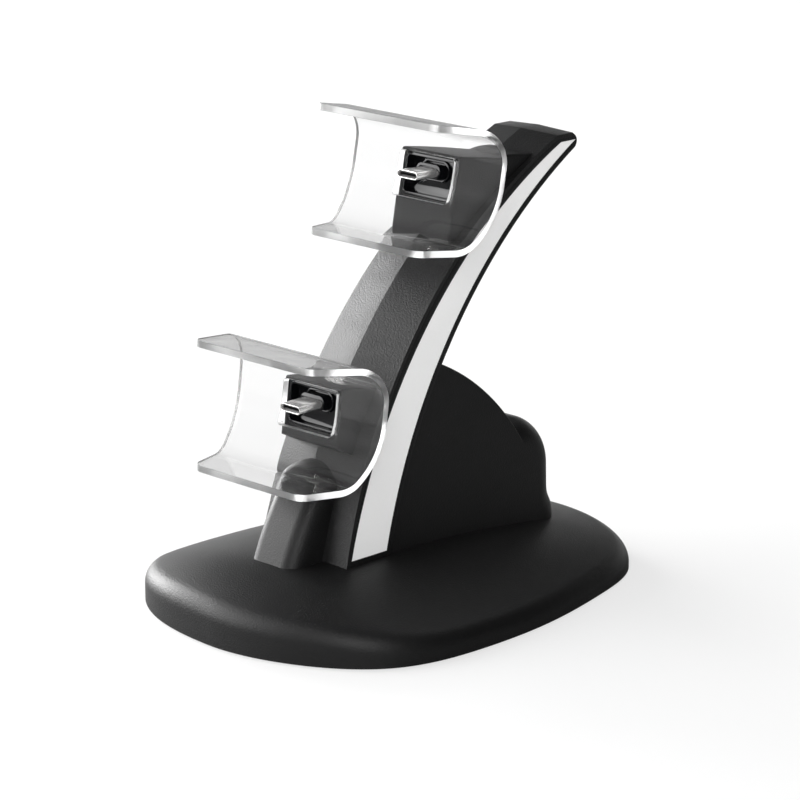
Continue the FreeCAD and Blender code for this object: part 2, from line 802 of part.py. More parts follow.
def post_form(inset=0.0):
    """Leaning post with a curved front line, an arched top and a broad round between them."""
    lean = math.radians(post_foot_lean)
    centre = at(post_foot_y, dome_top) + at(math.sin(lean), -math.cos(lean)) * post_front_radius
    front_line = (centre.y, centre.z, post_front_radius - inset)
    low, high = 4.0, post_arch_centre + post_half_width + 4.0
    edges = [arc_edge(front_line, low, high)]
    edges += [line(arc_point(front_line, high), at(post_back_high_y, high)),
              line(at(post_back_high_y, high), at(post_back_low_y, low)),
              line(at(post_back_low_y, low), arc_point(front_line, low))]
    half = post_half_width - inset
    front = -70.0
    arch = [line(Vector(-half, front, low), Vector(half, front, low)),
            line(Vector(half, front, low), Vector(half, front, post_arch_centre)),
            arc_through(Vector(half, front, post_arch_centre), Vector(0, front, post_arch_centre + half),
                        Vector(-half, front, post_arch_centre)),
            line(Vector(-half, front, post_arch_centre), Vector(-half, front, low))]
    post = solid_from(arch, Vector(0, 90, 0)).common(side_prism(edges, 40.0))
    front_edges = [e for e in post.Edges if e.BoundBox.ZLength > 3 and all(
        abs(math.hypot(v.Y - centre.y, v.Z - centre.z) - front_line[2]) < 0.01 for v in e.Vertexes)]
    return post.makeFillet(post_front_round - inset, front_edges)


def front_post(body, base):
    post = post_form().cut(post_form(post_wall)).cut(body).cut(base)
    return post.cut(stand(housing_wedge("lower"), "lower"))


# Connector housings, in a local frame: the front face is y = 0 and up is z

def stand(shape, name):
    """Lean a shape back and move it from the local frame to its housing's place."""
    y, z = housing_origins[name]
    copy = shape.copy()
    copy.rotate(Vector(0, 0, 0), X_AXIS, -housing_leans[name])
    copy.translate(at(y, z))
    return copy


def housing_wedge(name, inset=0.0, side_inset=0.0):
    rise = math.tan(math.radians(housing_top_rise))
    fall = math.tan(math.radians(housing_undercuts[name]))
    depth = housing_depths[name]
    drop = housing_drops[name] - (inset if fall else 0.0)
    top = housing_top - inset
    points = [at(inset, top + inset * rise), at(depth, top + depth * rise)]
    if fall:
        points += [at(depth, -drop - depth * fall)]
    points += [at(inset, -drop)]
    half = housing_half_width - side_inset
    wedge = side_prism(polygon_edges(points), half)
    if not inset:
        outer = [e for e in wedge.Edges if e.BoundBox.YMax < 0.01 or e.BoundBox.ZMin > housing_top - 0.01
                 and e.BoundBox.XLength < 0.01]
        wedge = wedge.makeFillet(housing_edge_round, outer)
    return wedge


def holder_block(margin, y0, y1, corner):
    half = housing_half_width - housing_side_wall - holder_gap + margin
    low, high = holder_bottom - margin, holder_top + margin
    block = box(-half, half, y0, y1, low, high)
    edges = [e for e in block.Edges if abs(e.tangentAt(e.FirstParameter).y) > 0.9]
    return block.makeFillet(corner, edges)


def connector_housing(name, body):
    wedge = housing_wedge(name).cut(housing_wedge(name, housing_wall, housing_side_wall))
    wedge = wedge.cut(holder_block(holder_gap, -1, holder_rear + 2, holder_corner))
    return stand(wedge, name).cut(body)


def plug_axis(shape):
    """Turn a bar on the Y axis to the plug's droop, about the holder's floor."""
    copy = shape.copy()
    copy.rotate(Vector(0, 0, 0), X_AXIS, plug_droop)
    copy.translate(at(holder_floor_depth, plug_level))
    return copy


plug_out = plug_tip + holder_floor_depth
plug_in = holder_rear - holder_floor_depth


def plug_bar(width, height, start, end):
    bar = stadium(width, height, end - start)
    bar.translate(Vector(0, start, 0))
    return plug_axis(bar)


def plug_holder(name):
    tray = holder_block(0.0, 0.0, holder_rear, holder_corner)
    pocket = holder_block(-holder_wall, -1, holder_floor_depth, holder_corner - holder_wall / 2)
    rear_pocket = holder_block(-holder_wall, holder_floor_depth + holder_floor, holder_rear + 1,
                               holder_corner - holder_wall / 2)
    tray = tray.cut(pocket).cut(rear_pocket)
    collar = stadium(collar_width, collar_height, collar_step + 0.5)
    collar.translate(at(holder_floor_depth - collar_step, plug_level))
    boss = stadium(boss_width, boss_height, holder_floor_depth + boss_front + 0.5)
    boss.translate(at(-boss_front, plug_level - 0.2))
    hollow = stadium(collar_width - 1.4, collar_height - 1.4, collar_step)
    hollow.translate(at(holder_floor_depth - collar_step, plug_level))
    tray = tray.fuse(collar.cut(hollow)).fuse(boss)
    tray = tray.cut(plug_bar(plug_width + 2 * plug_fit_gap, plug_height + 2 * plug_fit_gap,
                             -plug_out, plug_in + 2))
    return stand(tray, name)


def plug_shell(name):
    shell = plug_bar(plug_width, plug_height, -plug_out, plug_in + 2)
    mouth = plug_bar(plug_width - 2 * plug_sheet, plug_height - 2 * plug_sheet,
                     -plug_out - 1, plug_mouth_depth - plug_out)
    shell = shell.cut(mouth).cut(box(-FAR, FAR, holder_rear, FAR, -FAR, FAR))
    return stand(shell, name)


def plug_tongue(name):
    """Contact carrier inside the plug: an upper and a lower row, joined by a block at their back."""
    inner_width, inner_height = plug_width - 2 * plug_sheet, plug_height - 2 * plug_sheet
    start, end = plug_tongue_setback - plug_out, plug_mouth_depth - plug_out
    body = plug_bar(inner_width - 0.02, inner_height - 0.02, start, end)
    slot = plug_bar(inner_width - 0.7, plug_tongue_height, start - 1, end - 1.2)
    return stand(body.cut(slot), name)


def plug_board(name):
    board = holder_block(0.0, holder_rear, holder_rear + plug_board_thickness, holder_corner)
    return stand(board, name)


# Clear bracket, in the housing's local frame

def bracket_corners(offset):
    """Points of the C profile, moved in from its outer face by the offset."""
    sweep = math.radians(bracket_back_sweep)
    slope = math.radians(bracket_lip_slope)
    top_bend = bracket_top_bend - offset
    back_bend = bracket_back_bend - offset
    lip_bend = bracket_lip_bend - offset
    top_centre = at(-bracket_top_bend, bracket_top - bracket_top_bend)
    back_centre = at(-bracket_back_bend, 0.0)

    def on(centre, radius, angle):
        return centre + at(math.cos(angle), math.sin(angle)) * radius
    lip_centre = on(back_centre, bracket_back_bend - bracket_lip_bend, -sweep)
    lip_end_angle = -math.pi / 2 + slope
    lip_end = on(lip_centre, lip_bend, lip_end_angle)
    reach = bracket_bottom_reach + lip_end.y
    tip = lip_end + at(-reach, -reach * math.tan(slope))
    points = [at(-bracket_top_reach, bracket_top - offset), at(-bracket_top_bend, bracket_top - offset)]
    points += [on(top_centre, top_bend, math.pi / 4), at(-offset, bracket_top - bracket_top_bend)]
    points += [at(-offset, 0.0), on(back_centre, back_bend, -sweep / 2), on(back_centre, back_bend, -sweep)]
    points += [on(lip_centre, lip_bend, (-sweep + lip_end_angle) / 2), lip_end, tip]
    return points


def bracket_run(p):
    """Edges of one face of the bent sheet."""
    return [line(p[0], p[1]), arc_through(p[1], p[2], p[3]), line(p[3], p[4]),
            arc_through(p[4], p[5], p[6]), arc_through(p[6], p[7], p[8]), line(p[8], p[9])]


def bracket_plan(front_reach, front_half_width, z0, z1):
    """Plan outline of one flange: square at the back, flared in towards the front."""
    points = [Vector(-bracket_back_half_width, 20, z0), Vector(bracket_back_half_width, 20, z0),
              Vector(bracket_back_half_width, -bracket_flare_start, z0),
              Vector(front_half_width, -front_reach, z0), Vector(-front_half_width, -front_reach, z0),
              Vector(-bracket_back_half_width, -bracket_flare_start, z0)]
    plan = solid_from(polygon_edges(points), Vector(0, 0, z1 - z0))
    front = [e for e in plan.Edges if abs(e.tangentAt(e.FirstParameter).z) > 0.9
             and e.BoundBox.YMax < -front_reach + 0.01]
    return plan.makeFillet(bracket_corner, front)


def clear_bracket(name):
    outer, inner = bracket_corners(0.0), bracket_corners(sheet_thickness)
    edges = bracket_run(outer) + bracket_run(inner)
    edges += [line(outer[0], inner[0]), line(outer[-1], inner[-1])]
    sheet = side_prism(edges, 2 * bracket_back_half_width)
    plan = bracket_plan(bracket_top_reach, bracket_top_half_width, 0.0, 40.0).fuse(
        bracket_plan(bracket_bottom_reach, bracket_bottom_half_width, -40.0, 0.0))
    sheet = sheet.common(plan)
    sheet = sheet.cut(holder_block(window_margin, -sheet_thickness - 1, 1, window_corner))
    return stand(sheet, name)


# Fasteners

def base_screws():
    return Part.makeCompound([placed(screw(base_screw_length), Vector(p.x, p.y, plate_bottom))
                              for p in four_places(base_screw_places)])


def foot_screws():
    return Part.makeCompound([placed(screw(foot_screw_length), head) for _, head in foot_screw_places()])


def cover_screw_set():
    return Part.makeCompound([placed(screw(cover_screw_length), place, inward)
                              for place, inward in cover_screws()])


def board_screws():
    top = board_bottom + board_thickness + screw_head_height
    return Part.makeCompound([placed(screw(board_screw_length + screw_head_height),
                                     Vector(p.x, p.y, top), Vector(0, 0, -1)) for p in board_posts()])


def build():
    block = base_block()
    body = spine_body()
    save("base_top_shell", base_top_shell(block))
    save("base_bottom_plate", base_bottom_plate())
    save("ballast_plate", ballast_plate())
    feet = ("front_right", "front_left", "rear_right", "rear_left")
    for label, place in zip(feet, four_places(foot_places)):
        save("rubber_foot_" + label, rubber_foot(place))
    save("spine_front_cover", spine_front_cover(body, block))
    save("spine_core", spine_core(body, block))
    for side, pick in (("right", lambda s: s), ("left", mirrored)):
        save("light_diffuser_" + side, pick(light_diffuser()))
        save("led_board_" + side, pick(led_board()))
        save("led_chips_" + side, pick(led_chips()))
        save("led_lead_" + side, pick(led_lead()))
    save("rear_fin_cover", rear_fin_cover(body, block))
    save("main_circuit_board", main_circuit_board())
    save("board_components", board_components())
    save("power_inlet_shell", power_inlet_shell())
    save("power_inlet_tongue", power_inlet_tongue())
    save("front_post", front_post(body, block))
    for name, side in (("upper", 1), ("lower", -1)):
        board = plug_board(name)
        save(name + "_connector_housing", connector_housing(name, body))
        save(name + "_plug_holder", plug_holder(name))
        save(name + "_plug_shell", plug_shell(name))
        save(name + "_plug_tongue", plug_tongue(name))
        save(name + "_plug_board", board)
        save(name + "_ribbon_cable", ribbon_cable(name, side, board))
        save(name + "_clear_bracket", clear_bracket(name))
    save("base_screws", base_screws())
    save("foot_screws", foot_screws())
    save("cover_screws", cover_screw_set())
    save("board_screws", board_screws())


build()
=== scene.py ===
# %% [markdown]
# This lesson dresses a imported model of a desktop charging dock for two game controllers.
# The model comes as a fixed frame: closed solids whose places are already right.
# The steps are the camera, the light and the finishes, then the clear brackets, which are drawn anew
# as clean sheets, and last the mouldings, which get finer edges and smoother shading.

# %% Load the frame
import bpy
import json
import math
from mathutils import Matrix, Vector


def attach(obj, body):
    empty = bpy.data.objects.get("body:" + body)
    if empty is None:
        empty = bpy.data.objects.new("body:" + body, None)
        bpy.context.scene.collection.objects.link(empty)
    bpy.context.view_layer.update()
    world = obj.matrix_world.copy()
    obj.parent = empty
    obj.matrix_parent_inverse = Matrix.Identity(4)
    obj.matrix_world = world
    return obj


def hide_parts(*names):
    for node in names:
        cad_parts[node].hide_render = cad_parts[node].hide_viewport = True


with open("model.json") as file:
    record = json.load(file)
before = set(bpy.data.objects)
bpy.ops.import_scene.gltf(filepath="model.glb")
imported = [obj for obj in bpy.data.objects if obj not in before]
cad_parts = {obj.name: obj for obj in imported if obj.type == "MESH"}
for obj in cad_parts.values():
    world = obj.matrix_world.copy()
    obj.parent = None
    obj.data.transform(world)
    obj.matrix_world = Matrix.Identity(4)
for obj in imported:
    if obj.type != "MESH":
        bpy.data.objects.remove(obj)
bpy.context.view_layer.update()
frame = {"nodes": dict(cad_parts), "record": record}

nodes = frame["nodes"]
print("loaded", len(nodes), "nodes")

# %% [markdown]
# The camera looks at the dock from the picture's own side, in front of it and to its right.
# Its place, its aim and its long lens come from lining up the base and the height with the picture.
# A long lens keeps the far bracket almost as large as the near one, as in a catalogue picture.

# %% Camera
camera_place = Vector((0.70261, -0.69466, 0.33270))
camera_aim = Vector((0.00292, -0.00074, 0.05882))
camera_data = bpy.data.cameras.new("camera")
camera_data.lens = 157.07
camera_data.sensor_width = 36.0
camera_data.clip_end = 20.0
camera = bpy.data.objects.new("camera", camera_data)
camera.location = camera_place
camera.rotation_euler = (camera_aim - camera_place).to_track_quat("-Z", "Y").to_euler()
bpy.context.scene.collection.objects.link(camera)
bpy.context.scene.camera = camera
bpy.context.scene.view_settings.view_transform = "Standard"
print("camera at", tuple(round(c, 3) for c in camera_place))

# %% [markdown]
# A node tree that is built in code repeats the same few moves, so two helpers take them over. One makes
# a node group with named sockets, and the other a Math node fed by numbers or by other nodes.

# %% Node helpers
def new_group(name, inputs, outputs):
    group = bpy.data.node_groups.new(name, "ShaderNodeTree")
    for label, kind, value in inputs:
        socket = group.interface.new_socket(label, in_out="INPUT", socket_type=kind)
        socket.default_value = value
    for label, kind in outputs:
        group.interface.new_socket(label, in_out="OUTPUT", socket_type=kind)
    return group, group.nodes.new("NodeGroupInput"), group.nodes.new("NodeGroupOutput")


def math_node(tree, operation, first, second, third=None, clamp=False):
    node = tree.nodes.new("ShaderNodeMath")
    node.operation = operation
    node.use_clamp = clamp
    for socket, value in zip(node.inputs, (first, second, third)):
        if isinstance(value, (int, float)):
            socket.default_value = value
        elif value is not None:
            tree.links.new(value, socket)
    return node.outputs[0]


print("node helpers are ready")

# %% [markdown]
# The dock stands in a white studio. The camera sees pure white behind it, straight on or through clear
# plastic. A group works out how much of that white a ray sees: less with each reflection inside the
# plastic, so that its edges keep a grey outline. The world and the floor both use the group.

# %% Sight group
KEPT_PER_REFLECTION = 0.65

sight, sight_in, sight_out = new_group(
    "white_sight",
    [("Camera", "NodeSocketFloat", 0.0), ("Through", "NodeSocketFloat", 0.0),
     ("Bounces", "NodeSocketFloat", 0.0), ("Fade", "NodeSocketFloat", KEPT_PER_REFLECTION)],
    [("Seen", "NodeSocketFloat")])
direct = math_node(sight, "ADD", sight_in.outputs["Camera"], sight_in.outputs["Through"], clamp=True)
kept = math_node(sight, "POWER", sight_in.outputs["Fade"], sight_in.outputs["Bounces"])
sight.links.new(math_node(sight, "MULTIPLY", direct, kept), sight_out.inputs["Seen"])
print("sight group has", len(sight.nodes), "nodes")

# %% [markdown]
# The world is built from a few small parts: a soft ramp from one value to another, the sight group set
# into a tree, a blend of two values, and a soft round patch of light in one direction.

# %% World helpers
PATCH_RIM = 0.82
PATCH_CORE = 0.97


def ramp(tree, value, span, values):
    """The first of two values below the span, the second above it, and a soft change between."""
    node = tree.nodes.new("ShaderNodeMapRange")
    node.interpolation_type = "SMOOTHSTEP"
    for label, number in zip(("From Min", "From Max", "To Min", "To Max"), (*span, *values)):
        node.inputs[label].default_value = number
    tree.links.new(value, node.inputs["Value"])
    return node.outputs[0]


def sight_node(tree, paths, through):
    node = tree.nodes.new("ShaderNodeGroup")
    node.node_tree = sight
    tree.links.new(paths.outputs["Is Camera Ray"], node.inputs["Camera"])
    tree.links.new(through, node.inputs["Through"])
    tree.links.new(paths.outputs["Glossy Depth"], node.inputs["Bounces"])
    return node.outputs["Seen"]


def blend(tree, factor, first, second):
    node = tree.nodes.new("ShaderNodeMix")
    tree.links.new(factor, node.inputs["Factor"])
    for label, value in (("A", first), ("B", second)):
        if isinstance(value, (int, float)):
            node.inputs[label].default_value = value
        else:
            tree.links.new(value, node.inputs[label])
    return node.outputs["Result"]


def patch(tree, direction, azimuth, elevation, strength):
    """Light round one direction, whose angles are degrees from +X and from the horizon.

    The rim and the core of the patch are cosines of the angle to its middle.
    """
    turn = math.radians(azimuth)
    rise = math.radians(elevation)
    dot = tree.nodes.new("ShaderNodeVectorMath")
    dot.operation = "DOT_PRODUCT"
    dot.inputs[1].default_value = (math.cos(rise) * math.cos(turn), math.cos(rise) * math.sin(turn),
                                   math.sin(rise))
    tree.links.new(direction, dot.inputs[0])
    return ramp(tree, dot.outputs["Value"], (PATCH_RIM, PATCH_CORE), (0.0, strength))


print("world helpers are ready")

# %% [markdown]
# Two soft patches of the world, in front on the left, and a bright horizon on the left draw the soft
# highlights of the black plastic. Their strengths were found by rendering each light alone and fitting
# the sum to the picture's brightness, and then trimmed. Clear plastic mirrors only a dim horizon
# with a trace of the upper patch, because a bright mirror image would hide the dock behind it.
# Each span below is a height or a sideways place on a sphere of radius 1, where left is below zero.

# %% World
FRONT_LEFT = 225
UPPER_ELEVATION, UPPER_STRENGTH = 32, 3.5
LOWER_ELEVATION, LOWER_STRENGTH = 12, 3.6
HORIZON_HEIGHT, HORIZON_SIDE = (0.06, 0.30), (-0.5, 0.2)
HORIZON_STRENGTH = 2.5
MIRROR_HEIGHT, MIRROR_SIDE = (-0.02, 0.12), (-0.2, 0.7)
MIRROR_LOW, MIRROR_HIGH = 0.30, 0.06
MIRROR_RIGHT_SHARE = 0.25
MIRROR_PATCH_SHARE = 0.10
WHITE_FADES_ABOVE = (0.05, 0.45)

world = bpy.data.worlds.new("studio")
bpy.context.scene.world = world
world.use_nodes = True
sky = world.node_tree
sky.nodes.clear()
sky_paths = sky.nodes.new("ShaderNodeLightPath")
direction = sky.nodes.new("ShaderNodeTexCoord").outputs["Generated"]
split = sky.nodes.new("ShaderNodeSeparateXYZ")
sky.links.new(direction, split.inputs[0])
up, across = split.outputs["Z"], split.outputs["X"]
horizon = math_node(
    sky, "MULTIPLY",
    ramp(sky, up, HORIZON_HEIGHT, (HORIZON_STRENGTH, 0.0)),
    ramp(sky, across, HORIZON_SIDE, (1.0, 0.0)))
upper_patch = patch(sky, direction, FRONT_LEFT, UPPER_ELEVATION, UPPER_STRENGTH)
lower_patch = patch(sky, direction, FRONT_LEFT, LOWER_ELEVATION, LOWER_STRENGTH)
soft = math_node(sky, "ADD", math_node(sky, "ADD", horizon, upper_patch), lower_patch)
dim = math_node(
    sky, "MULTIPLY",
    ramp(sky, up, MIRROR_HEIGHT, (MIRROR_LOW, MIRROR_HIGH)),
    ramp(sky, across, MIRROR_SIDE, (1.0, MIRROR_RIGHT_SHARE)))
mirror = math_node(sky, "MULTIPLY_ADD", upper_patch, MIRROR_PATCH_SHARE, dim)
lit = blend(sky, sky_paths.outputs["Is Singular Ray"], soft, mirror)
through = math_node(
    sky, "MULTIPLY", sky_paths.outputs["Transmission Depth"], ramp(sky, up, WHITE_FADES_ABOVE, (1.0, 0.0)))
background = sky.nodes.new("ShaderNodeBackground")
background.inputs["Color"].default_value = (1.0, 1.0, 1.0, 1.0)
white = blend(sky, sight_node(sky, sky_paths, through), lit, 1.0)
sky.links.new(white, background.inputs["Strength"])
world_out = sky.nodes.new("ShaderNodeOutputWorld")
sky.links.new(background.outputs[0], world_out.inputs[0])
print("world has", len(sky.nodes), "nodes")

# %% [markdown]
# The floor is a plain sheet. It fills the whole picture behind the dock, so part of its white is its own
# glow, seen only by the camera and through clear plastic, and the rest takes the dock's shadow.
# Glossy rays see a greyer sheet, so that the underside of the rim stays dark.

# %% Floor
FLOOR_SIZE = 12.0
PAPER = (0.93, 0.93, 0.93, 1.0)
PAPER_MIRRORED = (0.36, 0.36, 0.36, 1.0)
GLOW_SHARE = 0.68

bpy.ops.object.select_all(action="DESELECT")
bpy.ops.mesh.primitive_plane_add(size=FLOOR_SIZE, location=(0, 0, 0))
floor = bpy.context.object
floor.name = "floor"
floor_finish = bpy.data.materials.new("white_floor")
floor_finish.use_nodes = True
sheet = floor_finish.node_tree
sheet.nodes.clear()
sheet_paths = sheet.nodes.new("ShaderNodeLightPath")
seen = sight_node(sheet, sheet_paths, sheet_paths.outputs["Transmission Depth"])
mirrored = math_node(sheet, "SUBTRACT", sheet_paths.outputs["Is Glossy Ray"], seen, clamp=True)
paper_colour = sheet.nodes.new("ShaderNodeMix")
paper_colour.data_type = "RGBA"
paper_colour.inputs["A"].default_value = PAPER
paper_colour.inputs["B"].default_value = PAPER_MIRRORED
sheet.links.new(mirrored, paper_colour.inputs["Factor"])
paper = sheet.nodes.new("ShaderNodeBsdfDiffuse")
sheet.links.new(paper_colour.outputs["Result"], paper.inputs["Color"])
glow = sheet.nodes.new("ShaderNodeEmission")
glow.inputs["Strength"].default_value = 1.0
floor_mix = sheet.nodes.new("ShaderNodeMixShader")
sheet.links.new(math_node(sheet, "MULTIPLY", seen, GLOW_SHARE), floor_mix.inputs[0])
sheet.links.new(paper.outputs[0], floor_mix.inputs[1])
sheet.links.new(glow.outputs[0], floor_mix.inputs[2])
floor_out = sheet.nodes.new("ShaderNodeOutputMaterial")
sheet.links.new(floor_mix.outputs[0], floor_out.inputs[0])
floor.data.materials.append(floor_finish)
print("floor is", FLOOR_SIZE, "m across")

# %% [markdown]
# Four soft boxes stand round the dock. The strong one is low on the left: it gives the left facets their
# grey sheen and throws the shadow to the right. The others round off the rim, the front and the tops.
# All are the same size and aim at the middle of the dock, so a lamp is only a place and a power.

# %% Lamps
BOX_SIDE = 0.8
BOX_AIM = Vector((0, 0, 0.06))


def soft_box(name, place, power):
    data = bpy.data.lights.new(name, "AREA")
    data.shape = "RECTANGLE"
    data.size = BOX_SIDE
    data.size_y = BOX_SIDE
    data.energy = power
    lamp = bpy.data.objects.new(name, data)
    lamp.location = place
    lamp.rotation_euler = (BOX_AIM - Vector(place)).to_track_quat("-Z", "Y").to_euler()
    bpy.context.scene.collection.objects.link(lamp)
    print("lamp", name, power, "W")


soft_box("left", (-1.663, 0.0, 0.413), 42.0)
soft_box("front_right", (1.019, -1.019, 0.961), 12.0)
soft_box("low_right", (1.176, -1.176, 0.413), 6.5)
soft_box("back", (0.0, 0.975, 1.453), 3.0)

# %% [markdown]
# Moulded plastic takes a fine spark-eroded grain from its mould. It is one small noise for the bump and
# for faint flecks in the colour, and a larger one that varies the gloss a little. It is made once, as a
# node group, so that each finish can set how fine and how deep it is.

# %% Grain group
GRAIN_HEIGHT = 0.0003
GLOSS_PATCH_SCALE = 60.0
GLOSS_CHANGE = 0.06
FLECK_BASE = 0.85

grain, grain_in, grain_out = new_group(
    "moulded_grain",
    [("Scale", "NodeSocketFloat", 3000.0), ("Depth", "NodeSocketFloat", 0.1),
     ("Roughness", "NodeSocketFloat", 0.4), ("Colour", "NodeSocketColor", (0.02, 0.02, 0.02, 1.0)),
     ("Fleck", "NodeSocketFloat", 0.3)],
    [("Colour", "NodeSocketColor"), ("Roughness", "NodeSocketFloat"), ("Normal", "NodeSocketVector")])
where = grain.nodes.new("ShaderNodeTexCoord")
fine = grain.nodes.new("ShaderNodeTexNoise")
fine.inputs["Detail"].default_value = 1.0
grain.links.new(where.outputs["Object"], fine.inputs["Vector"])
grain.links.new(grain_in.outputs["Scale"], fine.inputs["Scale"])
broad = grain.nodes.new("ShaderNodeTexNoise")
broad.inputs["Scale"].default_value = GLOSS_PATCH_SCALE
grain.links.new(where.outputs["Object"], broad.inputs["Vector"])
bump = grain.nodes.new("ShaderNodeBump")
bump.inputs["Distance"].default_value = GRAIN_HEIGHT
grain.links.new(grain_in.outputs["Depth"], bump.inputs["Strength"])
grain.links.new(fine.outputs["Fac"], bump.inputs["Height"])
grain.links.new(bump.outputs["Normal"], grain_out.inputs["Normal"])
gloss = math_node(grain, "MULTIPLY_ADD", broad.outputs["Fac"], GLOSS_CHANGE, grain_in.outputs["Roughness"])
grain.links.new(gloss, grain_out.inputs["Roughness"])
fleck = math_node(grain, "MULTIPLY_ADD", fine.outputs["Fac"], grain_in.outputs["Fleck"], FLECK_BASE)
tint = grain.nodes.new("ShaderNodeVectorMath")
tint.operation = "SCALE"
grain.links.new(grain_in.outputs["Colour"], tint.inputs[0])
grain.links.new(fleck, tint.inputs["Scale"])
grain.links.new(tint.outputs[0], grain_out.inputs["Colour"])
print("grain group has", len(grain.nodes), "nodes")

# %% [markdown]
# Every opaque finish is a Principled shader joined to the grain group. A helper makes one from its
# colour, its roughness and the scale, depth and fleck of its grain. What is the same all over the
# surface, such as metal or a painted glow, is set on the shader itself.

# %% Finish helper
finishes = {}


def finish(name, colour, roughness, scale, depth, fleck, **plain):
    material = bpy.data.materials.new(name)
    material.use_nodes = True
    shader = material.node_tree.nodes["Principled BSDF"]
    for socket, value in plain.items():
        shader.inputs[socket.replace("_", " ")].default_value = value
    surface = material.node_tree.nodes.new("ShaderNodeGroup")
    surface.node_tree = grain
    surface.inputs["Scale"].default_value = scale
    surface.inputs["Depth"].default_value = depth
    surface.inputs["Roughness"].default_value = roughness
    surface.inputs["Colour"].default_value = (*colour, 1.0)
    surface.inputs["Fleck"].default_value = fleck
    links = material.node_tree.links
    links.new(surface.outputs["Colour"], shader.inputs["Base Color"])
    links.new(surface.outputs["Roughness"], shader.inputs["Roughness"])
    links.new(surface.outputs["Normal"], shader.inputs["Normal"])
    finishes[name] = material


print("finish helper is ready")

# %% [markdown]
# The base, the spine, the fin and the housings are matt black plastic. The front cover's grain is a
# little coarser and deeper, and it reflects a little more light. The trays that hold the plugs come from
# a polished mould, so they have next to no grain. A low specular level keeps the black deep under the
# strong left lamp.

# %% Black plastics
finish("matte_black", (0.005, 0.005, 0.0052), roughness=0.46, scale=2100.0, depth=0.3, fleck=0.5,
       Specular_IOR_Level=0.29)
finish("cover_black", (0.006, 0.006, 0.0062), roughness=0.45, scale=1900.0, depth=0.45, fleck=0.5,
       Specular_IOR_Level=0.36)
finish("gloss_black", (0.004, 0.004, 0.005), roughness=0.06, scale=900.0, depth=0.007, fleck=0.1,
       Specular_IOR_Level=0.3)
print("made", len(finishes), "finishes")

# %% [markdown]
# The strips in the spine's sides are milky plastic that spreads light. The right one looks nearly white,
# though its side is shaded. A faint painted glow brings it close to that, though no lamp inside is lit.
# The left strip, which is out of view, has the same finish and comes out plain white under its lamp.

# %% Milky strips
# The emission here is a painted glow: the strip holds no lit lamp.
finish("diffuser", (0.68, 0.68, 0.675), roughness=0.42, scale=1800.0, depth=0.04, fleck=0.04,
       Emission_Strength=0.26, Emission_Color=(1.0, 1.0, 1.0, 1.0))
print("made", len(finishes), "finishes")

# %% [markdown]
# The plug sleeves and the inlet are bright stamped steel, the screws and the ballast plate duller steel.
# The rest is found inside or beneath: contacts, boards with their chips and lights, grey cables, and
# rubber feet. All take their grain from the same group, very faint on what is smooth.

# %% Metals and inner parts
finish("polished_steel", (0.90, 0.89, 0.88), roughness=0.20, scale=900.0, depth=0.013, fleck=0.1,
       Metallic=0.8)
finish("screw_steel", (0.42, 0.42, 0.43), roughness=0.3, scale=1800.0, depth=0.05, fleck=0.2,
       Metallic=1.0)
finish("ballast_steel", (0.45, 0.45, 0.46), roughness=0.35, scale=700.0, depth=0.1, fleck=0.3,
       Metallic=1.0)
finish("contact_black", (0.01, 0.01, 0.01), roughness=0.3, scale=1500.0, depth=0.03, fleck=0.2)
finish("led_chip", (0.85, 0.80, 0.45), roughness=0.35, scale=1500.0, depth=0.03, fleck=0.1)
finish("chip_black", (0.02, 0.02, 0.02), roughness=0.5, scale=1500.0, depth=0.1, fleck=0.4)
finish("circuit_board", (0.01, 0.10, 0.04), roughness=0.3, scale=1800.0, depth=0.03, fleck=0.3)
finish("cable_grey", (0.42, 0.42, 0.43), roughness=0.4, scale=1500.0, depth=0.03, fleck=0.1)
finish("rubber", (0.02, 0.02, 0.02), roughness=0.7, scale=1500.0, depth=0.17, fleck=0.5,
       Specular_IOR_Level=0.3)
print("made", len(finishes), "finishes")

# %% [markdown]
# The brackets are clear acrylic: no colour of their own and polished faces, with a faint waviness from
# the bending. Their cut edges are satin with a painted grey tint, between two narrow rounds painted near
# black: painted shade that draws each bracket with a light band and a thin grey outline.
# Light is turned back many times inside a sheet, so the paths in clear plastic are allowed to be long.

# %% Clear acrylic
ACRYLIC_IOR = 1.49
WAVE_SCALE = 120.0
WAVE_HEIGHT = 0.0001
LONGEST_PATH = 40
LONGEST_PATH_IN_SHEET = 32


def clear_finish(name, tint, roughness, wave, gloss):
    material = bpy.data.materials.new(name)
    material.use_nodes = True
    tree = material.node_tree
    shader = tree.nodes["Principled BSDF"]
    shader.inputs["Base Color"].default_value = (tint, tint, tint, 1.0)
    shader.inputs["Roughness"].default_value = roughness
    shader.inputs["IOR"].default_value = ACRYLIC_IOR
    shader.inputs["Specular IOR Level"].default_value = gloss
    shader.inputs["Transmission Weight"].default_value = 1.0
    where = tree.nodes.new("ShaderNodeTexCoord")
    waves = tree.nodes.new("ShaderNodeTexNoise")
    waves.inputs["Scale"].default_value = WAVE_SCALE
    waves.inputs["Detail"].default_value = 0.0
    tree.links.new(where.outputs["Object"], waves.inputs["Vector"])
    bump = tree.nodes.new("ShaderNodeBump")
    bump.inputs["Strength"].default_value = wave
    bump.inputs["Distance"].default_value = WAVE_HEIGHT
    tree.links.new(waves.outputs["Fac"], bump.inputs["Height"])
    tree.links.new(bump.outputs["Normal"], shader.inputs["Normal"])
    return material


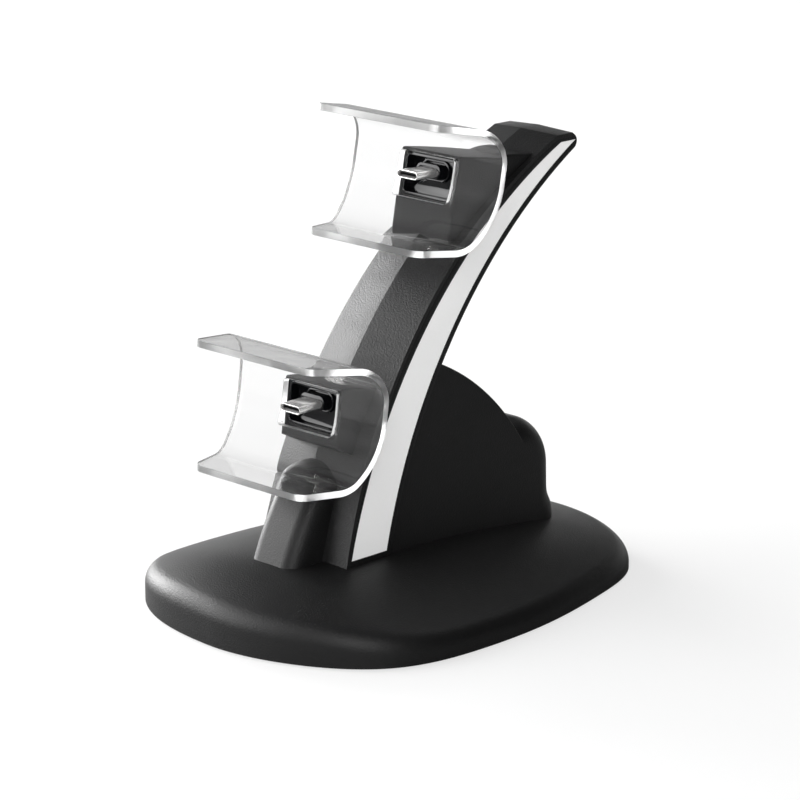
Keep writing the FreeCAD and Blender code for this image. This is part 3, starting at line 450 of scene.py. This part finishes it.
finishes["clear_plastic"] = clear_finish("clear_acrylic", tint=0.97, roughness=0.0, wave=0.3, gloss=0.5)
# The cut edge's grey tint and the edge line's near-black tint are painted shade, since clear acrylic has no
# colour of its own.
finishes["cut_edge"] = clear_finish("acrylic_cut_edge", tint=0.48, roughness=0.3, wave=0.6, gloss=0.35)
finishes["edge_line"] = clear_finish("acrylic_painted_outline", tint=0.01, roughness=0.15, wave=0.3, gloss=0.05)
cycles = bpy.context.scene.cycles
cycles.max_bounces = LONGEST_PATH
cycles.glossy_bounces = LONGEST_PATH_IN_SHEET
cycles.transmission_bounces = LONGEST_PATH_IN_SHEET
print("made", len(finishes), "finishes")

# %% [markdown]
# Each node now takes the finish that the record names for it.

# %% Dress the nodes
slot_of = {entry["node"]: entry["material_slot"] for entry in frame["record"]["subparts"]}
for name, node in nodes.items():
    node.data.materials.clear()
    node.data.materials.append(finishes[slot_of[name]])
print("dressed", len(nodes), "nodes")

# %% [markdown]
# The brackets and the mouldings are made with the same few moves: pick one piece, open all of it in edit
# mode, pick some of its points or edges by their place, copy it, or give it a modifier for good.

# %% Piece helpers
def pick(piece):
    bpy.ops.object.select_all(action="DESELECT")
    piece.select_set(True)
    bpy.context.view_layer.objects.active = piece


def edit_whole(piece):
    pick(piece)
    bpy.ops.object.mode_set(mode="EDIT")
    bpy.ops.mesh.select_all(action="SELECT")


def select_where(piece, test, kind="VERT"):
    """Open the active piece in edit mode with only the points or edges that pass the test."""
    bpy.ops.object.mode_set(mode="EDIT")
    bpy.ops.mesh.select_mode(type=kind)
    bpy.ops.mesh.select_all(action="DESELECT")
    bpy.ops.object.mode_set(mode="OBJECT")
    items = piece.data.edges if kind == "EDGE" else piece.data.vertices
    for item in items:
        item.select = test(item)
    bpy.ops.object.mode_set(mode="EDIT")


def own_copy(source, name):
    """Copy a piece together with its mesh, and pick the copy."""
    piece = bpy.data.objects.new(name, source.data.copy())
    bpy.context.scene.collection.objects.link(piece)
    pick(piece)
    return piece


def apply_modifier(piece, kind, **values):
    modifier = piece.modifiers.new(kind.lower(), kind)
    for key, value in values.items():
        setattr(modifier, key, value)
    pick(piece)
    bpy.ops.object.modifier_apply(modifier=modifier.name)


print("piece helpers are ready")

# %% [markdown]
# A clear bracket is one strip of sheet, bent warm over a former: a short flange, a tight bend, a flat
# back, a broad curve and a lip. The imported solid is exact, but its bends are flat facets, and these would
# show in clear plastic. So the sheet is drawn here once more, from the sizes that the solid has too, as a
# clean grid. Sizes are in the bracket's own frame, where y = 0 is its back, z = 0 is level with the plug,
# and a half is half a width. Each bracket's place is its y, its z and how far it leans back, in degrees.

# %% Bracket sizes
MM = 0.001
bracket = {
    "thickness": 2.0 * MM,
    "top": 15.9 * MM,
    "top_reach": 26.5 * MM,
    "bottom_reach": 24.1 * MM,
    "top_bend": 10.3 * MM,
    "back_bend": 28.0 * MM,
    "back_sweep": math.radians(40),
    "lip_bend": 9.0 * MM,
    "lip_slope": math.radians(6),
    "back_half": 30.0 * MM,
    "top_half": 23.9 * MM,
    "bottom_half": 22.2 * MM,
    "corner": 3.0 * MM,
    "window_half": 11.04 * MM,
    "window_low": -8.1 * MM,
    "window_high": 5.5 * MM,
    "window_corner": 1.2 * MM,
    "edge_round": 0.3 * MM,
}
bracket_places = {"upper": (14.3 * MM, 124.1 * MM, 11.0), "lower": (-32.7 * MM, 63.6 * MM, 7.0)}
print("bracket sheet", bracket["thickness"], "m thick")

# %% [markdown]
# The strip starts as one row of edges across the width, taken from a grid. The row is extruded along each
# straight and spun round each bend. Its points are set by a sine, which crowds them towards both ends:
# there they will have to follow the rounded corners.

# %% Sheet strip
COLUMNS = 36
TOP_BEND_STEPS = 14
BACK_BEND_STEPS = 20
LIP_BEND_STEPS = 10
GRID_HALF = 0.5


def extrude_by(step):
    bpy.ops.mesh.extrude_region_move(TRANSFORM_OT_translate={"value": step})


def spin_by(centre, angle, steps):
    """Spin the selected edges about an axis along X."""
    bpy.ops.mesh.spin(steps=steps, angle=angle, center=centre, axis=(1, 0, 0), dupli=False)


def bracket_strip(name):
    b = bracket
    bpy.ops.object.select_all(action="DESELECT")
    bpy.ops.mesh.primitive_grid_add(x_subdivisions=COLUMNS, y_subdivisions=1, size=2 * GRID_HALF)
    piece = bpy.context.object
    piece.name = name
    select_where(piece, lambda v: v.co.y > 0)
    bpy.ops.mesh.delete(type="VERT")
    bpy.ops.object.mode_set(mode="OBJECT")
    for vertex in piece.data.vertices:
        vertex.co.x = b["back_half"] * math.sin(math.pi * vertex.co.x)
    select_where(piece, lambda v: True)
    bpy.ops.transform.translate(value=(0, GRID_HALF - b["top_reach"], b["top"]))
    # The flange and its tight bend.
    extrude_by((0, b["top_reach"] - b["top_bend"], 0))
    spin_by((0, -b["top_bend"], b["top"] - b["top_bend"]), math.pi / 2, TOP_BEND_STEPS)
    # The flat back and its broad curve.
    extrude_by((0, 0, b["top_bend"] - b["top"]))
    spin_by((0, -b["back_bend"], 0), b["back_sweep"], BACK_BEND_STEPS)
    # The bend into the lip, and the lip.
    offset = b["back_bend"] - b["lip_bend"]
    lip_centre = (0, -b["back_bend"] + offset * math.cos(b["back_sweep"]),
                  -offset * math.sin(b["back_sweep"]))
    lip_turn = math.pi / 2 - b["lip_slope"] - b["back_sweep"]
    spin_by(lip_centre, lip_turn, LIP_BEND_STEPS)
    end_y = lip_centre[1] + b["lip_bend"] * math.sin(b["lip_slope"])
    run = b["bottom_reach"] + end_y
    extrude_by((0, -run, -run * math.tan(b["lip_slope"])))
    bpy.ops.object.mode_set(mode="OBJECT")
    return piece


strip = bracket_strip("bracket_strip")
print("strip", len(strip.data.polygons), "faces", [round(d, 4) for d in strip.dimensions])

# %% [markdown]
# The bent strip is as wide in front as at the back. Each row is drawn in with its reach, and both front
# rows are pulled back along a quarter circle at their ends, which rounds the sheet's four corners. No
# operator moves points by such a formula, so they are placed in code. Then the normals are made to agree.

# %% Draw in the sheet
TOUCH = 1e-5
SAME_PLACE = 1e-6


def taper(piece):
    b = bracket
    for vertex in piece.data.vertices:
        upper = vertex.co.z > 0
        front_half = b["top_half"] if upper else b["bottom_half"]
        front_reach = b["top_reach"] if upper else b["bottom_reach"]
        slope = 0.0 if upper else math.tan(b["lip_slope"])
        into = abs(vertex.co.x) * front_half / b["back_half"] - (front_half - b["corner"])
        if into > 0 and vertex.co.y < TOUCH - front_reach:
            back = b["corner"] - math.sqrt(max(b["corner"] ** 2 - into ** 2, 0.0))
            vertex.co.y += back
            vertex.co.z += back * slope
        reach = max(-vertex.co.y, 0.0)
        vertex.co.x *= 1 - (1 - front_half / b["back_half"]) * reach / front_reach


def facing_out(piece):
    edit_whole(piece)
    bpy.ops.mesh.remove_doubles(threshold=SAME_PLACE)
    bpy.ops.mesh.normals_make_consistent(inside=False)
    bpy.ops.object.mode_set(mode="OBJECT")


taper(strip)
facing_out(strip)
print("sheet", [round(d, 4) for d in strip.dimensions])

# %% [markdown]
# The sheet gets its thickness inwards, away from the side that faces the spine, so that its back stays
# where it is. Its rim takes the finish of a cut edge as it is made. Then the window for the plug is cut
# through the flat back by a block with rounded corners, whose own finish stays on the cut.

# %% Sheet to bracket
BRACKET_FINISHES = ("clear_plastic", "cut_edge", "edge_line")
CUT_EDGE = BRACKET_FINISHES.index("cut_edge")
PAINTED_OUTLINE = BRACKET_FINISHES.index("edge_line")
CUTTER_DEPTH = 12.0 * MM
CORNER_STEPS = 5


def give_bracket_finishes(piece):
    for name in BRACKET_FINISHES:
        piece.data.materials.append(finishes[name])


def cut_window(piece):
    b = bracket
    bpy.ops.object.select_all(action="DESELECT")
    bpy.ops.mesh.primitive_cube_add(size=1.0, location=(0, 0, (b["window_low"] + b["window_high"]) / 2))
    cutter = bpy.context.object
    cutter.scale = (2 * b["window_half"], CUTTER_DEPTH, b["window_high"] - b["window_low"])
    bpy.ops.object.transform_apply(location=True, rotation=False, scale=True)
    give_bracket_finishes(cutter)
    for face in cutter.data.polygons:
        face.material_index = CUT_EDGE

    def runs_through(edge):
        first, second = (cutter.data.vertices[number].co for number in edge.vertices)
        return abs((first - second).y) > CUTTER_DEPTH / 2

    select_where(cutter, runs_through, "EDGE")
    bpy.ops.mesh.bevel(offset=b["window_corner"], segments=CORNER_STEPS)
    bpy.ops.object.mode_set(mode="OBJECT")
    apply_modifier(piece, "BOOLEAN", object=cutter, solver="EXACT")
    bpy.data.objects.remove(cutter)


middle_face = min(strip.data.polygons, key=lambda f: abs(f.center.z) + abs(f.center.x))
outward = 1.0 if middle_face.normal.y > 0 else -1.0
give_bracket_finishes(strip)
apply_modifier(strip, "SOLIDIFY", thickness=bracket["thickness"], offset=-outward, use_even_offset=True,
               material_offset_rim=CUT_EDGE)
cut_window(strip)
facing_out(strip)
print("bracket", len(strip.data.polygons), "faces")

# %% [markdown]
# Each bracket is a copy of the finished sheet. Its edges get a small round in the near-black finish, a
# painted shade that draws the thin outline. Weighted normals keep the flat faces flat: without them each
# round would bend the shading of the large face beside it, and clear plastic would show that as ripples.

# %% Stand the brackets
EDGE_SEGMENTS = 3
EDGE_LIMIT = math.radians(40)
BEND_LIMIT = math.radians(35)
FULL_WEIGHT = 100

for level, (y, z, lean) in bracket_places.items():
    piece = own_copy(strip, level + "_bent_bracket")
    apply_modifier(piece, "BEVEL", width=bracket["edge_round"], segments=EDGE_SEGMENTS,
                   limit_method="ANGLE", angle_limit=EDGE_LIMIT, material=PAINTED_OUTLINE)
    piece.rotation_euler = (-math.radians(lean), 0, 0)
    piece.location = (0, y, z)
    bpy.ops.object.transform_apply(location=True, rotation=True, scale=True)
    bpy.ops.object.shade_smooth_by_angle(angle=BEND_LIMIT)
    apply_modifier(piece, "WEIGHTED_NORMAL", keep_sharp=True, weight=FULL_WEIGHT)
    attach(piece, "root")
    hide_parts(level + "_clear_bracket")
    print(piece.name, len(piece.data.polygons), "faces", [round(d, 4) for d in piece.dimensions])
bpy.data.objects.remove(strip)

# %% [markdown]
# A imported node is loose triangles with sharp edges, and light runs along a real moulding's edges. So each
# moulding that shows is copied, its corners are merged, its flat faces can be joined, and its curved
# faces are shaded smooth. The copy then stands for the node. Where an edge is sharp in the solid but not
# on the real piece, a bevel gives it a small round.

# %% Moulding helper
LOOSE_CORNERS = 0.00001
ROUND_SEGMENTS = 2


def moulding(node_name, piece_name, radius=0.0, limit=25.0, smooth=30.0, join=0.5):
    """Copy a node with merged corners; the radius is in metres and the rest are angles in degrees.

    Edges above the limit are rounded, faces below smooth share one curve, and faces below join
    become one face.
    """
    piece = own_copy(nodes[node_name], piece_name)
    edit_whole(piece)
    bpy.ops.mesh.remove_doubles(threshold=LOOSE_CORNERS)
    bpy.ops.object.mode_set(mode="OBJECT")
    if piece.data.has_custom_normals:
        bpy.ops.mesh.customdata_custom_splitnormals_clear()
    if join:
        edit_whole(piece)
        bpy.ops.mesh.dissolve_limited(angle_limit=math.radians(join))
        bpy.ops.object.mode_set(mode="OBJECT")
    if radius:
        apply_modifier(piece, "BEVEL", width=radius, segments=ROUND_SEGMENTS, limit_method="ANGLE",
                       angle_limit=math.radians(limit))
    bpy.ops.object.shade_smooth_by_angle(angle=math.radians(smooth))
    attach(piece, "root")
    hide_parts(node_name)
    print(piece_name, len(piece.data.polygons), "faces")
    return piece


print("moulding helper is ready")

# %% [markdown]
# The base, the fin, the post and the housings have their rounds in the solids, so they only need the
# smooth shading. The spine's cover and core, the plug holders and the plug sleeves get fine rounds.
# The crease between the cover's two facets is shallow: a smoothing angle above it would wipe it out.
# The base is a shallow dome, so only its truly flat faces are joined, and the core's are left alone.

# %% Mouldings
moulding("base_top_shell", "base_moulding", join=0.05)
cover = moulding("spine_front_cover", "spine_front_moulding", radius=0.0003, limit=12.0, smooth=12.0)
cover.data.materials[0] = finishes["cover_black"]
moulding("spine_core", "spine_core_moulding", radius=0.00015, limit=40.0, join=0.0)
moulding("rear_fin_cover", "fin_moulding")
moulding("front_post", "post_moulding")
for level in ("upper", "lower"):
    moulding(level + "_connector_housing", level + "_housing_moulding")
    moulding(level + "_plug_holder", level + "_holder_moulding", radius=0.00015)
    moulding(level + "_plug_shell", level + "_plug_sleeve", radius=0.0001)
